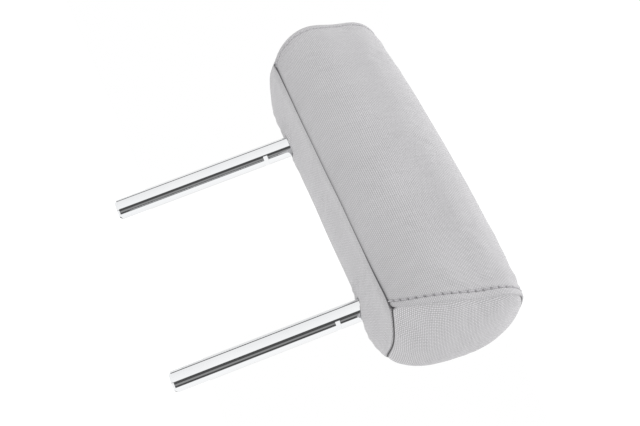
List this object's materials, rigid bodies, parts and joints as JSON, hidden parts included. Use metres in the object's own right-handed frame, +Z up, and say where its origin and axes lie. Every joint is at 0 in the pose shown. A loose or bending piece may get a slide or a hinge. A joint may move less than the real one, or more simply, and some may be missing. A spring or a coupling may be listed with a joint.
{
  "type": "head restraint",
  "caption": "Padded head restraint: a grey woven fabric bolster with sewn end panels on two straight chromed steel posts, each with a height notch.",
  "frame": {"origin": "midway between the two post axes, in the plane where the posts leave the pad's underside", "axes": "+Z up along the posts into the pad, +X across the width from the left post to the right post, -Y the way the padded front faces"},
  "size_m": [0.264, 0.0811, 0.2157],
  "materials": {
    "chrome": "polished chrome plate",
    "core_plastic": "moulded polypropylene",
    "screw_steel": "zinc-plated",
    "foam": "open-cell polyurethane foam",
    "cover_fabric": "plain-weave polyester, light grey",
    "thread": "bonded polyester sewing thread"
  },
  "bodies": {
    "root": {"post_frame": "chrome", "core_front_shell": "core_plastic", "core_rear_shell": "core_plastic", "core_screws": "screw_steel", "foam_pad": "foam", "main_panel": "cover_fabric", "left_side_panel": "cover_fabric", "right_side_panel": "cover_fabric", "bottom_panel": "cover_fabric", "left_top_stitching": "thread", "right_top_stitching": "thread", "left_seam_thread": "thread", "right_seam_thread": "thread", "lower_seam_thread": "thread", "closure_hook_strip": "core_plastic", "closure_catch_strip": "core_plastic"}
  },
  "joints": []
}
